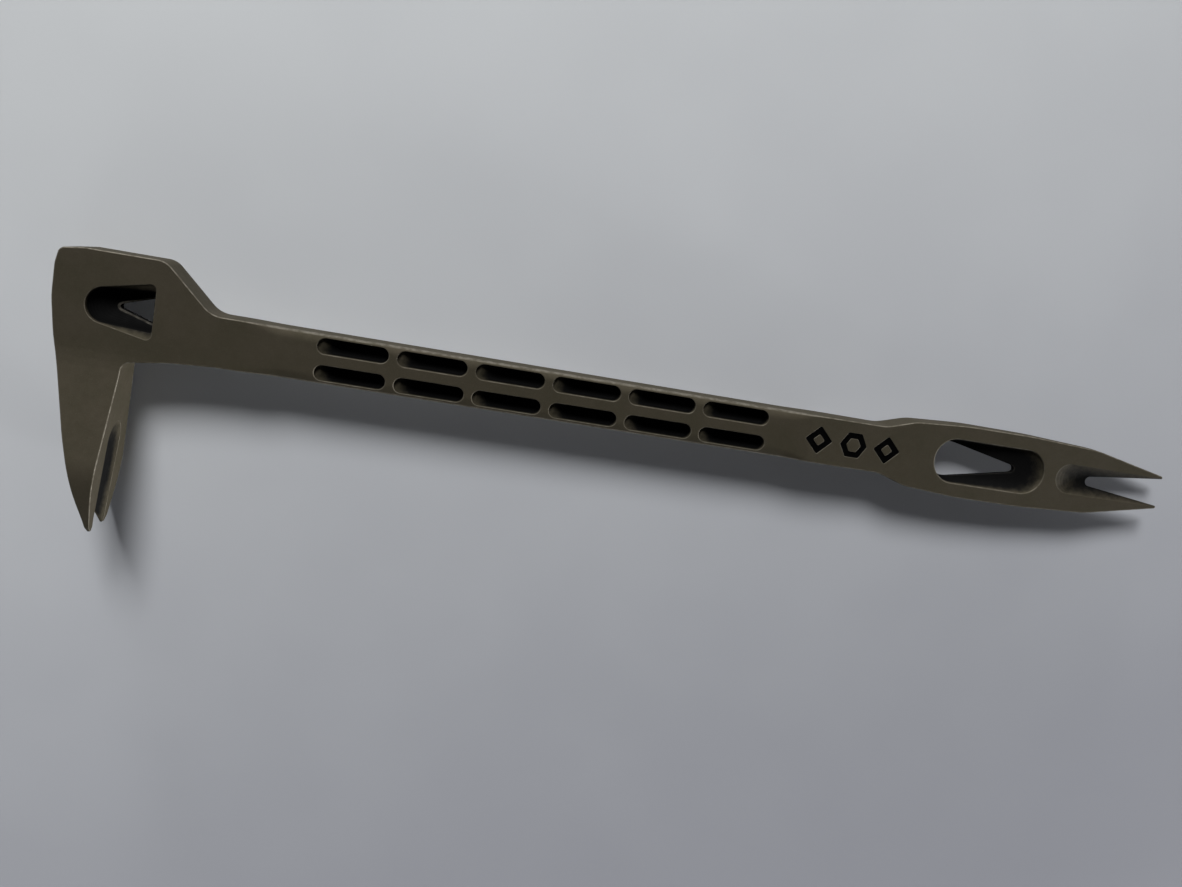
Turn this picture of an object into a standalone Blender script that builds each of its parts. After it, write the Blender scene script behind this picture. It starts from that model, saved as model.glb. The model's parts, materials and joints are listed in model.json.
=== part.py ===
"""One-piece titanium nail puller (a short pry bar), modelled as its machined zones.

The bar is drawn in its own tool frame, in millimetres: X runs along the bar from the strike
face (0) to the tail tips (305), Y points up the head, away from the head claw, and Z is the
thickness of the plate it is cut from, with the middle of the plate at 0. Each zone is a plate:
an outline with holes, an upper and a lower surface, and rings of points that carry every edge
from one surface to the other. Neighbouring zones meet face to face across GAP. The parent
empty then lays the bar on its side on the ground, on the three points that it rests on.
"""

import math

import bmesh
import bpy
import numpy as np
from mathutils import Matrix, Vector
from mathutils.geometry import delaunay_2d_cdt

MM = 0.001
GAP = 0.3  # between neighbouring solids

# Overall sizes, in millimetres.
LENGTH = 305.0  # strike face to tail tips
PLATE_HALF = 6.0  # half thickness of the head and the shaft
SHAFT_HALF = 6.5  # half height of the shaft
HEAD_TOP = 18.15
CLAW_DROP = 53.6  # from the centre line down to the claw tips
BLADE_HALF = 10.15  # half width of the tail blade

# Where one zone ends and the next begins, along X.
NECK_START = 45.0
SHAFT_START = 62.0
PANEL_START = 190.0
BLADE_START = 230.0
FORK_START = 270.5
CLAW_START = 13.0  # below the centre line

# Edges.
EDGE_BREAK = 0.35
CLAW_BREAK = 0.2
SOFT_WIDTH = 0.7  # rounding of the shaft's long edges, across the face
SOFT_DEPTH = 2.0  # and down the side
CROWN_RADIUS = 3.6  # the faces of the shaft fall away towards its long edges
CROWN_START = 3.9
SOFT_FROM = (45.0, 57.0)  # the rounding grows over this stretch
SOFT_TO = (190.0, 204.0)  # and fades over this one
TAPER = ((198.0, PLATE_HALF), (232.0, 4.5), (LENGTH, 0.8))  # x and half thickness

# Head, seen from the side: corners with their radii.
STRIKE_CORNERS = (
    (6.8, HEAD_TOP, 12.0),
    (0.75, 17.3, 1.9),
    (0.0, 13.3, 6.0),
    (0.0, 5.2, 25.0),
    (1.35, -4.5, 40.0),
    (7.35, -28.8, 40.0),
    (13.9, -50.5, 20.0),
    (14.6, -CLAW_DROP, 0.0),
)
SHOULDER_CORNERS = ((38.7, SHAFT_HALF, 7.0), (26.3, HEAD_TOP, 5.0))
INNER_X = 18.24  # of the claw's inner face, 15 below the centre line
INNER_SLOPE = 0.0744
ROOT_CORNERS = ((18.55, -8.9, 2.4), (30.0, -7.2, 40.0), (41.0, -SHAFT_HALF, 20.0))

# Head and claw, seen from the front: distance below the centre line, half width, radius.
FRONT_CORNERS = (
    (-HEAD_TOP, PLATE_HALF, 0.0),
    (9.2, PLATE_HALF, 40.0),
    (39.9, 13.15, 19.0),
    (52.2, 7.7, 2.0),
    (CLAW_DROP, 5.9, 0.0),
)
FLARE_FADE = (18.4, 30.0)  # X over which the flare gives way to the flat neck

# V notch of the claw and the scoop that leads into it.
CLAW_NOTCH = 49.3  # bottom of the V, below the centre line
CLAW_MOUTH = 4.6  # half width of the V at the tips
CLAW_SCOOP = (30.2, 5.2)  # centre and radius of the scoop's round end
CLAW_WEB = 0.8  # metal left at the edge of the V

# Window through the head.
WINDOW_WALL = 24.8
WINDOW_Y = 4.75
WINDOW_RIM = (12.7, 4.6, 7.25, 1.4)  # centre and radius at the left, half height and corner
WINDOW_SHOULDER = (12.9, 4.55, 5.3, 0.9)  # at the right
WINDOW_LAND = (15.9, 1.25, 4.1, 0.6)
WINDOW_HOLE = (16.2, 0.7, 3.55, 0.3)
SHOULDER_DEPTH = 1.3
WINDOW_WEB = 1.2  # half thickness of the land round the hole

# Pockets of the shaft: two rows on each face.
POCKET_COUNT = 6
POCKET_PITCH = 20.42
POCKET_FIRST = 74.6
POCKET_RADIUS = 2.0
POCKET_REACH = 7.1  # from a pocket's middle to the centre of its round end
POCKET_ROW = 3.45
POCKET_FLOOR = 2.0  # half thickness of the web between opposite pockets
POCKET_BREAK = 0.15

# Tail, seen from the face: x, half width, radius.
SIDE_CORNERS = (
    (NECK_START, SHAFT_HALF, 0.0),
    (219.3, SHAFT_HALF, 10.0),
    (227.5, 9.05, 12.0),
    (243.0, BLADE_HALF, 60.0),
    (262.0, BLADE_HALF, 90.0),
    (283.0, 9.15, 30.0),
    (304.7, 4.75, 0.4),
    (LENGTH, 4.4, 0.0),
)
SLOT_RIM = ((241.05, 6.15), (261.95, 6.15))  # centre and radius of each end
SLOT_HOLE = ((239.9, 4.95), (258.9, 1.1))
SLOT_WEB = 0.8
FORK_APEX = (283.4, 1.4)  # centre and radius of the round end of the notch
FORK_MOUTH = 4.0  # half width of the notch at the tips
FORK_SCOOP = (276.3, 4.15)  # centre and radius of the scoop's round end
FORK_WEB = 0.5

# Marks on the panel: recesses in the upper face, filled with black enamel.
MARKS = (("diamond_a", 200.7, 4), ("hexagon", 210.7, 6), ("diamond_b", 220.4, 4))
MARK_RADIUS = 3.9
MARK_STROKE = 1.6
MARK_DEPTH = 1.5
ENAMEL_DROP = 0.25  # of the enamel's surface below the face
ENAMEL_CLEAR = 0.25  # to the walls and the floor of the recess

ARC_STEP = math.radians(12)
CONIC = math.sqrt(0.5)  # weight that turns a quadratic curve into a round one
RINGS = 3  # rings that round one edge


# ---------------------------------------------------------------- outlines


def arc(centre, radius, start, end, count):
    """Points on an arc from angle start to angle end."""
    angles = np.linspace(start, end, count)
    x = centre[0] + radius * np.cos(angles)
    y = centre[1] + radius * np.sin(angles)
    return np.stack([x, y], axis=1)


def rounded_path(corners):
    """An open path through corners (x, y, radius), each inner one turned into an arc."""
    points = [np.array(corners[0][:2], float)]
    for before, here, after in zip(corners, corners[1:], corners[2:]):
        corner = np.array(here[:2], float)
        back = np.array(before[:2], float) - corner
        ahead = np.array(after[:2], float) - corner
        back_length, ahead_length = np.linalg.norm(back), np.linalg.norm(ahead)
        back, ahead = back / back_length, ahead / ahead_length
        half = math.acos(back @ ahead) / 2
        reach = min(here[2] / math.tan(half), 0.49 * back_length, 0.49 * ahead_length)
        radius = reach * math.tan(half)
        middle = (back + ahead) / np.linalg.norm(back + ahead)
        centre = corner + middle * radius / math.sin(half)
        first, last = corner + back * reach - centre, corner + ahead * reach - centre
        start = math.atan2(first[1], first[0])
        turn = math.atan2(first[0] * last[1] - first[1] * last[0], first @ last)
        count = max(2, int(abs(turn) / ARC_STEP) + 2)
        points.extend(arc(centre, radius, start, start + turn, count))
    points.append(np.array(corners[-1][:2], float))
    return np.array(points)


def resample(path, count):
    """The same path with its points spread evenly along it."""
    along = np.concatenate([[0], np.cumsum(np.linalg.norm(np.diff(path, axis=0), axis=1))])
    at = np.linspace(0, along[-1], count)
    return np.stack([np.interp(at, along, path[:, k]) for k in range(2)], axis=1)


def with_steps(path, step):
    """The same path with points added so that no stretch is longer than step."""
    points = [path[:1]]
    for a, b in zip(path, path[1:]):
        count = max(1, math.ceil(np.linalg.norm(b - a) / step))
        points.append(resample(np.array([a, b]), count + 1)[1:])
    return np.vstack(points)


def between(path, start, end):
    """The stretch of a path that runs along X from start to end."""
    xs = np.unique([start, *path[(path[:, 0] > start) & (path[:, 0] < end), 0], end])
    return np.stack([xs, np.interp(xs, path[:, 0], path[:, 1])], axis=1)


def outward(path, end_axes=None):
    """Unit normals on the right of an open path. At an end they lie along the cut there."""
    ahead = np.diff(path, axis=0)
    ahead /= np.linalg.norm(ahead, axis=1, keepdims=True)
    tangent = np.vstack([ahead[:1], ahead[:-1] + ahead[1:], ahead[-1:]])
    normal = np.stack([tangent[:, 1], -tangent[:, 0]], axis=1)
    for index, axis in zip((0, -1), end_axes or ()):
        normal[index, axis] = 0
    return normal / np.linalg.norm(normal, axis=1, keepdims=True)


def slot_outline(left, right, steps=7, runs=1):
    """A closed outline round two circles (x, radius) on the X axis and their tangents."""
    (x0, r0), (x1, r1) = left, right
    turn = math.pi / 2 - math.asin((r0 - r1) / (x1 - x0))
    first = arc((x1, 0), r1, -turn, turn, steps)
    second = arc((x0, 0), r0, turn, 2 * math.pi - turn, steps)
    upper = resample(np.array([first[-1], second[0]]), runs + 1)[1:-1]
    lower = resample(np.array([second[-1], first[0]]), runs + 1)[1:-1]
    return np.vstack([first, upper, second, lower])


def keystone_outline(x, radius, wall_half, corner, steps=9, runs=4):
    """The window's outline: round on the left, flaring to a flat wall on the right."""
    far = math.hypot(WINDOW_WALL - x, wall_half)
    start = math.atan2(wall_half, WINDOW_WALL - x) + math.acos(radius / far)
    left = arc((x, 0), radius, start, 2 * math.pi - start, steps)
    ends = [(*left[-1], 0), (WINDOW_WALL, -wall_half, corner), (WINDOW_WALL, 0, 0)]
    bottom = resample(rounded_path(ends)[1:-1], 4)
    low = resample(np.array([left[-1], bottom[0]]), runs + 1)[1:-1]
    side = resample(np.array([bottom[-1], bottom[-1] * (1, -1)]), 5)[1:-1]
    top = bottom[::-1] * (1, -1)
    high = resample(np.array([top[-1], left[0]]), runs + 1)[1:-1]
    return np.vstack([left, low, bottom, side, top, high]) + (0, WINDOW_Y)


# ---------------------------------------------------------------- surfaces


STRIKE_EDGE = rounded_path(STRIKE_CORNERS)
FRONT_EDGE = rounded_path(FRONT_CORNERS)
SIDE_EDGE = rounded_path(SIDE_CORNERS)


def strike_x(below):
    """X of the strike side at a distance below the centre line."""
    return np.interp(below, -STRIKE_EDGE[:, 1], STRIKE_EDGE[:, 0])


def inner_x(below):
    """X of the claw's inner face."""
    return INNER_X - INNER_SLOPE * (np.asarray(below, float) - 15)


def front_half(below):
    """Half width of the head and the claw, seen from the front."""
    return np.interp(below, FRONT_EDGE[:, 0], FRONT_EDGE[:, 1])


def ease(value, low, high):
    t = np.clip((np.asarray(value, float) - low) / (high - low), 0, 1)
    return t * t * (3 - 2 * t)


def softness(x):
    """How far the shaft's rounding has grown: 0 on the head and the tail, 1 on the shaft."""
    return ease(x, *SOFT_FROM) * (1 - ease(x, *SOFT_TO))


def face_z(xy):
    """Half thickness of the plate at points of the head, the shaft and the tail."""
    x, y = xy[:, 0], xy[:, 1]
    base = np.interp(x, [p[0] for p in TAPER], [p[1] for p in TAPER])
    flare = (front_half(-y) - PLATE_HALF) * (1 - ease(x, *FLARE_FADE))
    start = SHAFT_HALF + (CROWN_START - SHAFT_HALF) * softness(x)
    fall = np.clip(np.abs(y) - start, 0, SHAFT_HALF - CROWN_START)
    crown = CROWN_RADIUS - np.sqrt(CROWN_RADIUS**2 - fall**2)
    return base + flare - np.where(softness(x) > 0, crown, 0)


# ---------------------------------------------------------------- rings


def edge_rings(path, normal, surface, width, depth):
    """Rings that round an edge: from the surface, tangent to it, to the side wall."""
    width, depth = np.broadcast_to(width, len(path)), np.broadcast_to(depth, len(path))
    rim = path - normal * width[:, None]
    face = surface(rim)
    slope = (face - surface(rim + normal * 0.02)) / 0.02
    rings = []
    for t in np.linspace(0, 1, RINGS + 1):
        a, b, c = (1 - t) ** 2, 2 * CONIC * t * (1 - t), t**2
        inset = width * a / (a + b + c)
        drop = (b * slope * width + c * depth) / (a + b + c)
        rings.append((path - normal * inset[:, None], face - drop))
    return rings


def plate_rings(paths, surface=face_z):
    """Upper rings round a plate, softened where the shaft is."""
    path = np.vstack([p for p, _ in paths])
    normal = np.vstack([n for _, n in paths])
    soft = softness(path[:, 0])
    width = EDGE_BREAK + (SOFT_WIDTH - EDGE_BREAK) * soft
    depth = EDGE_BREAK + (SOFT_DEPTH - EDGE_BREAK) * soft
    return edge_rings(path, normal, surface, width, depth)


def loft(outer, z_outer, inner, z_inner, count):
    """Rings from one outline down to another, hollowed the way a ball-nosed cutter does."""
    rings = []
    for k in range(1, count + 1):
        s = k / count
        across = 0.45 * s + 0.55 * (1 - math.cos(math.pi / 2 * s))
        down = 0.45 * s + 0.55 * math.sin(math.pi / 2 * s)
        z = np.broadcast_to(z_outer + (z_inner - z_outer) * down, len(outer))
        rings.append((outer + (inner - outer) * across, z))
    return rings


def mirrored(rings):
    return [(xy, -z) for xy, z in rings]


def level(outline, z):
    return (outline, np.full(len(outline), float(z)))


# ---------------------------------------------------------------- meshes


def inside(points, polygon):
    """Which points are inside a closed polygon."""
    x, y = points[:, 0:1], points[:, 1:2]
    ax, ay = polygon[:, 0], polygon[:, 1]
    bx, by = np.roll(ax, -1), np.roll(ay, -1)
    crosses = (ay > y) != (by > y)
    rise = np.where(by == ay, 1.0, by - ay)
    return (crosses & (x < (bx - ax) * (y - ay) / rise + ax)).sum(1) % 2 == 1


def make_solid(name, material, through, blind=(), seeds=(), caps=None, claw=False):
    """One closed solid. Each through loop is (upper rings, lower rings). Each blind group is
    (side, ring lists that share a floor). Seeds are extra points where a cap bends."""
    bm = bmesh.new()

    def vertex(u, v, w):
        return bm.verts.new(Vector((w, -u, v) if claw else (u, v, w)) * MM)

    def stack(rings):
        made = [[vertex(*p, z) for p, z in zip(xy, zs)] for xy, zs in rings]
        for upper, lower in zip(made, made[1:]):
            for i in range(len(upper)):
                bm.faces.new((upper[i - 1], upper[i], lower[i], lower[i - 1]))
        return made

    def fill(loops, surface=None):
        points = np.vstack([xy for xy, _ in loops])
        verts = [vert for _, ring in loops for vert in ring]
        edges, first = [], 0
        for xy, _ in loops:
            edges += [(first + i, first + (i + 1) % len(xy)) for i in range(len(xy))]
            first += len(xy)
        if surface and len(seeds):
            rims = [with_steps(np.vstack([xy, xy[:1]]), 1.0) for xy, _ in loops]
            apart = np.linalg.norm(seeds[:, None] - np.vstack(rims)[None], axis=2).min(1)
            odd = sum(inside(seeds, xy).astype(int) for xy, _ in loops) % 2 == 1
            extra = seeds[(apart > 0.8) & odd]
            verts += [vertex(*p, z) for p, z in zip(extra, surface(extra))]
            points = np.vstack([points, extra])
        made = delaunay_2d_cdt([Vector(p) for p in points], edges, [], 0, 1e-7)
        triangles = np.array([[made[3][i][0] for i in face] for face in made[2]])
        centres = points[triangles].mean(1)
        keep = sum(inside(centres, xy).astype(int) for xy, _ in loops) % 2 == 1
        for triangle in triangles[keep]:
            bm.faces.new([verts[i] for i in triangle])

    rims = {1: [], -1: []}
    for upper, lower in through:
        made = stack(upper + lower[::-1])
        rims[1].append((upper[0][0], made[0]))
        rims[-1].append((lower[0][0], made[-1]))
    for side, group in blind:
        made = [stack(rings) for rings in group]
        rims[side] += [(rings[0][0], ring[0]) for rings, ring in zip(group, made)]
        fill([(rings[-1][0], ring[-1]) for rings, ring in zip(group, made)])
    upper_cap, lower_cap = caps or (face_z, lambda xy: -face_z(xy))
    fill(rims[1], upper_cap)
    fill(rims[-1], lower_cap)
    bmesh.ops.dissolve_degenerate(bm, edges=bm.edges, dist=1e-7)
    bmesh.ops.recalc_face_normals(bm, faces=bm.faces)
    mesh = bpy.data.meshes.new(name)
    bm.to_mesh(mesh)
    bm.free()
    mesh.shade_smooth()
    mesh.set_sharp_from_angle(angle=math.radians(32))
    mesh.materials.append(material)
    solid = bpy.data.objects.new(name, mesh)
    bpy.context.scene.collection.objects.link(solid)
    return solid


def make_material(name, colour, roughness, metallic):
    material = bpy.data.materials.new(name)
    material.use_nodes = True
    shader = material.node_tree.nodes["Principled BSDF"]
    shader.inputs["Base Color"].default_value = (*colour, 1)
    shader.inputs["Roughness"].default_value = roughness
    shader.inputs["Metallic"].default_value = metallic
    return material


# ---------------------------------------------------------------- zones


def make_head(material):
    """Strike face, window and shoulder, down to the claw and along to the neck."""
    cut = CLAW_START - GAP / 2
    neck = NECK_START - GAP / 2
    down = STRIKE_EDGE[STRIKE_EDGE[:, 1] > -cut]
    over = rounded_path([(neck, SHAFT_HALF, 0), *SHOULDER_CORNERS, (*down[0], 0)])
    over = np.vstack([over, down[1:], [(strike_x(cut), -cut)]])[::-1]
    under = rounded_path([(inner_x(cut), -cut, 0), *ROOT_CORNERS, (neck, -SHAFT_HALF, 0)])
    paths = [(under, outward(under, (1, 0))), (over[::-1], outward(over[::-1], (0, 1)))]
    rings = plate_rings(paths)
    rim, shoulder, land, hole = (
        keystone_outline(*sizes)
        for sizes in (WINDOW_RIM, WINDOW_SHOULDER, WINDOW_LAND, WINDOW_HOLE)
    )
    lip = PLATE_HALF - SHOULDER_DEPTH
    window = [level(rim, PLATE_HALF), level(shoulder, lip)]
    window += loft(shoulder, lip, land, WINDOW_WEB, 4)
    window.append(level(hole, WINDOW_WEB))
    seeds = np.array([(x, y) for x in range(2, 30, 4) for y in np.arange(-12, 0, 2.2)])
    through = [(rings, mirrored(rings)), (window, mirrored(window))]
    return make_solid("head", material, through, seeds=seeds)


def notch_rings(rim, edge, rim_z, web_z, rings, first):
    """Replaces the edge break along a notch by the scoop that leads into it."""
    scoop = [(rim, rim_z)] + loft(rim, rim_z, edge, web_z, RINGS)
    made = []
    for (xy, z), (scoop_xy, scoop_z) in zip(rings, scoop):
        xy, z = xy.copy(), z.copy()
        xy[first : first + len(edge)] = scoop_xy
        z[first : first + len(edge)] = scoop_z
        made.append((xy, z))
    return made


def make_claw(material):
    """The head claw: a wedge that flares and then narrows to two tips round a V."""
    top = CLAW_START + GAP / 2
    side = with_steps(between(FRONT_EDGE, top, CLAW_DROP), 4.0)
    vee = rounded_path([(CLAW_DROP, CLAW_MOUTH, 0), (CLAW_NOTCH, 0.5, 0.6), (CLAW_NOTCH, 0, 0)])
    vee = resample(vee, 7)
    notch = np.vstack([vee, vee[-2::-1] * (1, -1)])
    path = np.vstack([side, notch, side[::-1] * (1, -1)])[::-1]
    normal = outward(path, (0, 0))
    outer = edge_rings(path, normal, lambda p: strike_x(p[:, 0]), CLAW_BREAK, -CLAW_BREAK)
    inner = edge_rings(path, normal, lambda p: inner_x(p[:, 0]), CLAW_BREAK, CLAW_BREAK)
    centre, radius = CLAW_SCOOP
    bend = arc((centre, 0), radius, math.pi / 2, math.pi, 6)
    rim = np.vstack([[(CLAW_DROP - CLAW_BREAK, CLAW_MOUTH + CLAW_BREAK)], bend])
    rim = resample(rim, len(vee))
    rim = np.vstack([rim, rim[-2::-1] * (1, -1)])[::-1]
    edge = notch[::-1]
    web = np.minimum(strike_x(edge[:, 0]) + CLAW_WEB, inner_x(edge[:, 0]) - CLAW_BREAK)
    inner = notch_rings(rim, edge, inner_x(rim[:, 0]), web, inner, len(side))
    seeds = np.array([(u, v) for u in range(16, 50, 4) for v in (-9.0, -6.0, 0.0, 6.0, 9.0)])
    return make_solid(
        "head_claw",
        material,
        [(inner, outer)],
        seeds=seeds,
        caps=(lambda p: inner_x(p[:, 0]), lambda p: strike_x(p[:, 0])),
        claw=True,
    )


def cut_path(x, side):
    """Points across the bar at a cut, from -side to side, where the face there is crowned."""
    half = SHAFT_HALF - SOFT_WIDTH - 0.5 if softness(x) > 0 else 0
    y = np.linspace(-half, half, 9) * side
    path = np.stack([np.full(len(y), x), y], axis=1)[: 9 if half else 0]
    return path, np.zeros_like(path)


def strip_paths(start, end, step):
    """The outline of the bar between two cuts, anticlockwise from the lower long edge."""
    start, end = start + GAP / 2, end - GAP / 2
    lower = with_steps(between(SIDE_EDGE, start, end), step) * (1, -1)
    upper = lower[::-1] * (1, -1)
    edges = [(path, outward(path, (0, 0))) for path in (lower, upper)]
    return [edges[0], cut_path(end, 1), edges[1], cut_path(start, -1)]


def make_neck(material):
    rings = plate_rings(strip_paths(NECK_START, SHAFT_START, 3.0))
    rows = (-5.2, -CROWN_START, 0.0, CROWN_START, 5.2)
    seeds = np.array([(x, y) for x in range(48, 61, 3) for y in rows])
    return make_solid("neck", material, [(rings, mirrored(rings))], seeds=seeds)


def make_shaft(material):
    """The grip, with two rows of blind pockets in each face."""
    rings = plate_rings(strip_paths(SHAFT_START, PANEL_START, 6.0))
    blind = []
    for k in range(POCKET_COUNT):
        x = POCKET_FIRST + k * POCKET_PITCH
        for y in (-POCKET_ROW, POCKET_ROW):
            ends = (x - POCKET_REACH, x + POCKET_REACH)
            wide = slot_outline(*((e, POCKET_RADIUS + POCKET_BREAK) for e in ends)) + (0, y)
            wall = slot_outline(*((e, POCKET_RADIUS) for e in ends)) + (0, y)
            top = face_z(wide)
            pocket = [(wide, top), (wall, top - POCKET_BREAK), level(wall, POCKET_FLOOR)]
            blind += [(1, [pocket]), (-1, [mirrored(pocket)])]
    return make_solid("shaft", material, [(rings, mirrored(rings))], blind)


def mark_outline(x, sides, radius, clear=0.0):
    """A regular outline; clear moves every side outwards."""
    radius += clear / math.cos(math.pi / sides)
    return arc((x, 0), radius, 0, 2 * math.pi * (1 - 1 / sides), sides)


def mark_stroke(sides):
    """Difference between the radii of a mark's outer and inner outlines."""
    return MARK_STROKE / math.cos(math.pi / sides)


def make_panel(material):
    """The flat panel with the marks, where the plate starts to thin."""
    rings = plate_rings(strip_paths(PANEL_START, BLADE_START, 4.0))
    blind = []
    for _, x, sides in MARKS:
        group = []
        for radius in (MARK_RADIUS, MARK_RADIUS - mark_stroke(sides)):
            outline = mark_outline(x, sides, radius)
            top = face_z(outline)
            group.append([(outline, top), (outline, top - MARK_DEPTH)])
        blind.append((1, group))
    rows = (-5.2, -CROWN_START, 0.0, CROWN_START, 5.2)
    seeds = np.array([(x, y) for x in (193.0, 196.0) for y in rows])
    return make_solid("panel", material, [(rings, mirrored(rings))], blind, seeds)


def make_enamel(name, material, x, sides):
    """The enamel in one mark: a closed frame that stands clear of the recess."""
    through = []
    for radius, clear in ((MARK_RADIUS, -1), (MARK_RADIUS - mark_stroke(sides), 1)):
        outline = mark_outline(x, sides, radius, clear * ENAMEL_CLEAR)
        top = face_z(outline)
        upper = [(outline, top - ENAMEL_DROP)]
        lower = [(outline, top - MARK_DEPTH + ENAMEL_CLEAR)]
        through.append((upper, lower))
    return make_solid(name, material, through)


def make_blade(material):
    """The wide part of the tail, with the dished slot."""
    rings = plate_rings(strip_paths(BLADE_START, FORK_START, 5.0))
    rim = slot_outline(*SLOT_RIM, steps=13, runs=4)
    hole = slot_outline(*SLOT_HOLE, steps=13, runs=4)
    slot = [(rim, face_z(rim))] + loft(rim, face_z(rim), hole, SLOT_WEB, 5)
    return make_solid("tail_blade", material, [(rings, mirrored(rings)), (slot, mirrored(slot))])


def make_fork(material):
    """The tail claw: two prongs round a V, with a scoop that leads into it on each face."""
    side = with_steps(between(SIDE_EDGE, FORK_START + GAP / 2, LENGTH), 5.0) * (1, -1)
    centre, radius = FORK_APEX
    lean = math.atan2(FORK_MOUTH, LENGTH - centre)
    lean += math.asin(radius / math.hypot(LENGTH - centre, FORK_MOUTH))
    vee = arc((centre, 0), radius, -math.pi / 2 - lean / 2, -math.pi, 5)
    vee = resample(np.vstack([[(LENGTH, -FORK_MOUTH)], vee]), 10)
    notch = np.vstack([vee, vee[-2::-1] * (1, -1)])
    path = np.vstack([side, notch, side[::-1] * (1, -1)])
    rings = plate_rings([(path, outward(path, (0, 0)))])
    centre, radius = FORK_SCOOP
    bend = arc((centre, 0), radius, -math.pi / 2, -math.pi, 6)
    rim = np.vstack([[(LENGTH - EDGE_BREAK, -FORK_MOUTH - 0.12)], bend])
    rim = resample(rim, len(vee))
    rim = np.vstack([rim, rim[-2::-1] * (1, -1)])
    rings = notch_rings(rim, notch, face_z(rim), np.full(len(notch), FORK_WEB), rings, len(side))
    return make_solid("tail_claw", material, [(rings, mirrored(rings))])


# ---------------------------------------------------------------- pose


def lay_down(solids):
    """Turns the bar so that it rests on the ground on the three points under its middle, with
    its length along X, and centres it over the origin."""
    hull = bmesh.new()
    middle, volume = Vector(), 0.0
    for solid in solids:
        solid.data.calc_loop_triangles()
        points = [vertex.co.copy() for vertex in solid.data.vertices]
        for triangle in solid.data.loop_triangles:
            a, b, c = (points[i] for i in triangle.vertices)
            part = a.dot(b.cross(c)) / 6
            middle += (a + b + c) / 4 * part
            volume += part
        for point in points:
            hull.verts.new(point)
    middle /= volume
    bmesh.ops.convex_hull(hull, input=hull.verts)
    hull.normal_update()
    for face in hull.faces:
        corners = np.array([v.co.xy for v in face.verts])
        if face.normal.z < 0 and inside(np.array([middle.xy]), corners)[0]:
            up = -face.normal.copy()
    hull.free()
    ahead = (Vector((1, 0, 0)) - up * up.x).normalized()
    turn = Matrix((ahead, up.cross(ahead), up))
    spots = np.array([turn @ vertex.co for solid in solids for vertex in solid.data.vertices])
    low, high = spots.min(0), spots.max(0)
    shift = Vector((-(low[0] + high[0]) / 2, -(low[1] + high[1]) / 2, -low[2]))
    rest = bpy.data.objects.new("nail_puller", None)
    rest.matrix_world = Matrix.Translation(shift) @ turn.to_4x4()
    bpy.context.scene.collection.objects.link(rest)
    for solid in solids:
        solid.parent = rest


for old in list(bpy.data.objects):
    bpy.data.objects.remove(old)

titanium = make_material("titanium", (0.07, 0.065, 0.055), 0.42, 0.9)
enamel = make_material("enamel", (0.006, 0.006, 0.006), 0.35, 0.0)
zones = (make_head, make_claw, make_neck, make_shaft, make_panel, make_blade, make_fork)
bar = [make_zone(titanium) for make_zone in zones]
for mark, mark_x, mark_sides in MARKS:
    bar.append(make_enamel(f"mark_{mark}_enamel", enamel, mark_x, mark_sides))
lay_down(bar)
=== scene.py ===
"""Looks for the titanium nail puller: fine skins, procedural finishes, floor, light and camera.

Everything is drawn in the tool frame, in millimetres: X from the strike face (0) to the tail
tips (305), Y up the head, away from the head claw, and Z through the thickness, 0 at mid-plane.
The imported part's mounts say how that frame lies in the row frame. Each skin is a stack of
rings round its outline and its holes, closed by caps, with its normals worked out from the
same curves. Rings run from the upper face to the lower one; outer loops turn anticlockwise
and holes clockwise, so that the metal is always on the left.
"""

import json
import math

import bpy
import numpy as np
from mathutils import Matrix, Vector
from mathutils.geometry import delaunay_2d_cdt


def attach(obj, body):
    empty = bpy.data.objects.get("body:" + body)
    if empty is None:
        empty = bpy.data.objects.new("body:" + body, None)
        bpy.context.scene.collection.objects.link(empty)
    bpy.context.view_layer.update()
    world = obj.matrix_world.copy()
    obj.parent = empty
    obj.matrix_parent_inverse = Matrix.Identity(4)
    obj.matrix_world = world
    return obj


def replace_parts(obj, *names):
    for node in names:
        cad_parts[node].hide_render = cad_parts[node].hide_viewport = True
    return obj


MM = 0.001

# Overall sizes, in millimetres.
LENGTH = 305.0
PLATE_HALF = 6.0
SHAFT_HALF = 6.5
HEAD_TOP = 18.15
CLAW_DROP = 53.6
BLADE_HALF = 10.15
STRIKE_MOUNT = (0.0, 9.2, 0.0)  # where the mount strike_face_back sits in the tool frame

# Where one zone ends and the next begins.
NECK_START = 45.0
SHAFT_START = 62.0
PANEL_START = 190.0
BLADE_START = 230.0
FORK_START = 270.5
CLAW_START = 13.0

# Edges: a small break everywhere, and on the shaft soft edges and crowned faces, which fade in
# and out along X. TAPER gives the half thickness along X.
EDGE_BREAK = 0.35
SOFT_WIDTH = 0.7
SOFT_DEPTH = 2.0
CROWN_RADIUS = 3.6
CROWN_START = 3.9
SOFT_FROM = (45.0, 57.0)
SOFT_TO = (190.0, 204.0)
TAPER = ((198.0, PLATE_HALF), (232.0, 4.5), (LENGTH, 0.8))

# Head, seen from the side: corners with their radii.
STRIKE_CORNERS = (
    (6.8, HEAD_TOP, 12.0),
    (0.75, 17.3, 1.9),
    (0.0, 13.3, 6.0),
    (0.0, 5.2, 25.0),
    (1.35, -4.5, 40.0),
    (7.35, -28.8, 40.0),
    (13.9, -50.5, 20.0),
    (14.6, -CLAW_DROP, 0.0),
)
SHOULDER_CORNERS = ((38.7, SHAFT_HALF, 7.0), (26.3, HEAD_TOP, 5.0))
INNER_X = 18.24
INNER_SLOPE = 0.0744
ROOT_CORNERS = ((18.55, -8.9, 2.4), (30.0, -7.2, 40.0), (41.0, -SHAFT_HALF, 20.0))

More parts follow.
